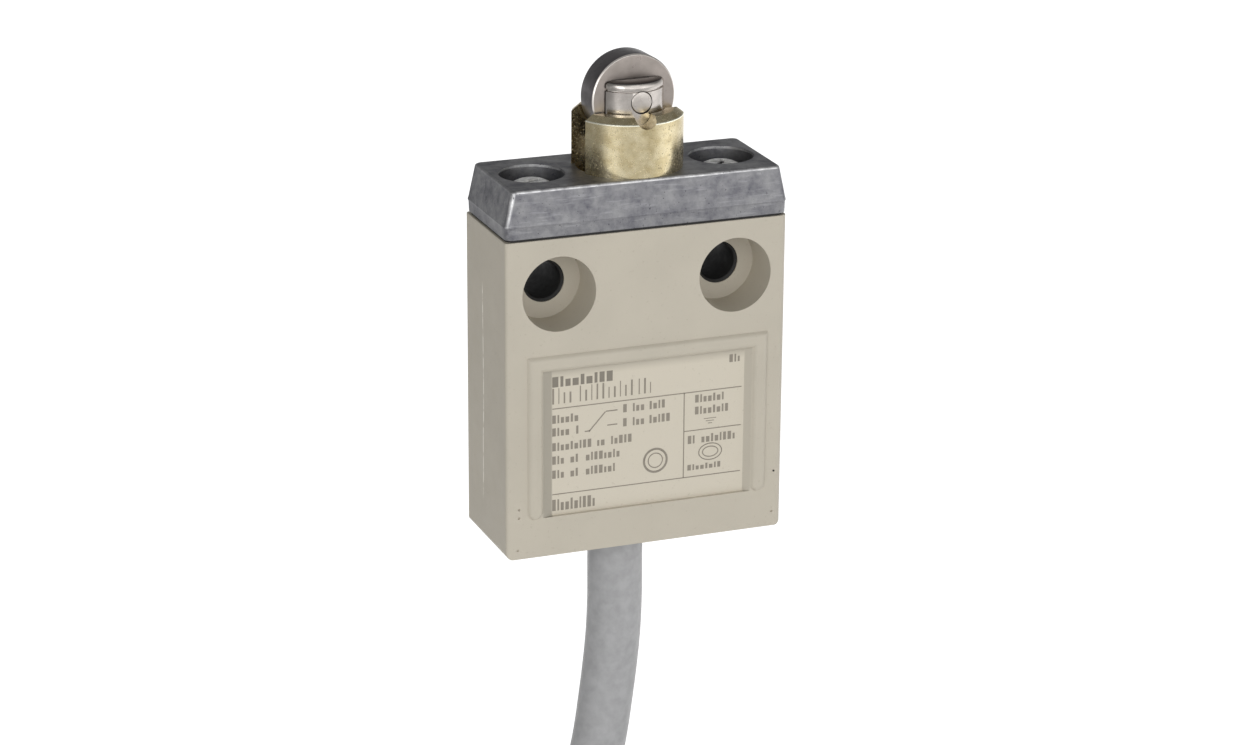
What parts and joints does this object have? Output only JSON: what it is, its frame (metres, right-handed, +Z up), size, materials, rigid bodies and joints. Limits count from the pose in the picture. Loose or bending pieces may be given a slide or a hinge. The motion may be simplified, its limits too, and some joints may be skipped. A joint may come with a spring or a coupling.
{
  "type": "limit switch",
  "caption": "Slim prewired limit switch with a top roller plunger, counterbored mounting holes and a coiled cable.",
  "frame": {"origin": "midway between the two mounting holes, on the flat back face", "axes": "+Z up, the way the roller plunger points; +Y out of the back face, away from the viewer; +X to the right seen from the front"},
  "size_m": [0.1066, 0.0349, 0.2733],
  "materials": {
    "housing_plastic": "fine moulded texture",
    "blackened_steel": "dark oxide",
    "brass": "turned, satin",
    "zinc_casting": "die-cast, lightly brushed",
    "black_rubber": "matt",
    "plated_steel": "zinc plated",
    "natural_plastic": "satin",
    "black_plastic": "satin",
    "silver": "polished",
    "black_wire": "satin",
    "red_wire": "satin",
    "white_wire": "satin",
    "green_yellow_wire": "green with yellow stripe",
    "resin": "cast resin",
    "cable_sheath": "satin PVC",
    "copper": "bare copper",
    "stainless_steel": "turned, polished",
    "roller_steel": "ground, hardened",
    "spring_steel": "drawn wire",
    "red_plastic": "satin"
  },
  "bodies": {
    "switch_body": {"housing": "housing_plastic", "mounting_sleeves": "blackened_steel", "threaded_inserts": "brass", "head_block": "zinc_casting", "head_gasket": "black_rubber", "head_screws": "plated_steel", "guide_bush": "brass", "plunger_seal": "black_rubber", "pusher_guide": "natural_plastic", "switch_seal_cap": "black_rubber", "switch_case": "black_plastic", "switch_cover": "black_plastic", "com_terminal": "brass", "no_terminal": "brass", "nc_terminal": "brass", "fixed_contacts": "silver", "ground_strap": "brass", "wire_black": "black_wire", "wire_red": "red_wire", "wire_white": "white_wire", "wire_green_yellow": "green_yellow_wire", "potting": "resin", "cable_root": "cable_sheath", "cable_lead": "cable_sheath", "cable_coil": "cable_sheath", "cable_ties": "black_plastic", "cable_tail": "cable_sheath", "core_end_black": "black_wire", "core_end_red": "red_wire", "core_end_white": "white_wire", "core_end_green_yellow": "green_yellow_wire", "core_tips": "copper"},
    "plunger_body": {"plunger": "stainless_steel", "roller_axle": "stainless_steel", "return_spring": "spring_steel"},
    "roller_body": {"roller": "roller_steel"},
    "pusher_body": {"inner_pusher": "natural_plastic", "overtravel_spring": "spring_steel"},
    "button_body": {"switch_button": "red_plastic"},
    "blade_body": {"snap_blade": "copper", "moving_contact": "silver"}
  },
  "joints": [
    {"name": "plunger_slide", "type": "slide", "parent": "switch_body", "child": "plunger_body", "axis": [0, 0, -1], "range_m": [0, 0.005], "stiffness_N_per_m": 1200, "springref_m": -0.004, "deforming": ["return_spring"]},
    {"name": "roller_spin", "type": "hinge", "parent": "plunger_body", "child": "roller_body", "pos_m": [0, -0.008, 0.02395], "axis": [-0.0523, 0.9986, 0], "continuous": true},
    {"name": "pusher_slide", "type": "slide", "parent": "plunger_body", "child": "pusher_body", "axis": [0, 0, 1], "range_m": [0, 0.0044], "deforming": ["overtravel_spring"]},
    {"name": "button_slide", "type": "slide", "parent": "switch_body", "child": "button_body", "axis": [0, 0, -1], "range_m": [0, 0.0006]},
    {"name": "blade_hinge", "type": "hinge", "parent": "switch_body", "child": "blade_body", "pos_m": [-0.0076, -0.008, -0.0171], "axis": [0, 1, 0], "range_deg": [0, 4.8]}
  ],
  "couplings": [
    {"joint": "pusher_slide", "follows": "plunger_slide", "ratio": 0.88},
    {"joint": "button_slide", "follows": "plunger_slide", "ratio": 0.12},
    {"joint": "blade_hinge", "follows": "plunger_slide", "rad_per_m": 16.75}
  ]
}
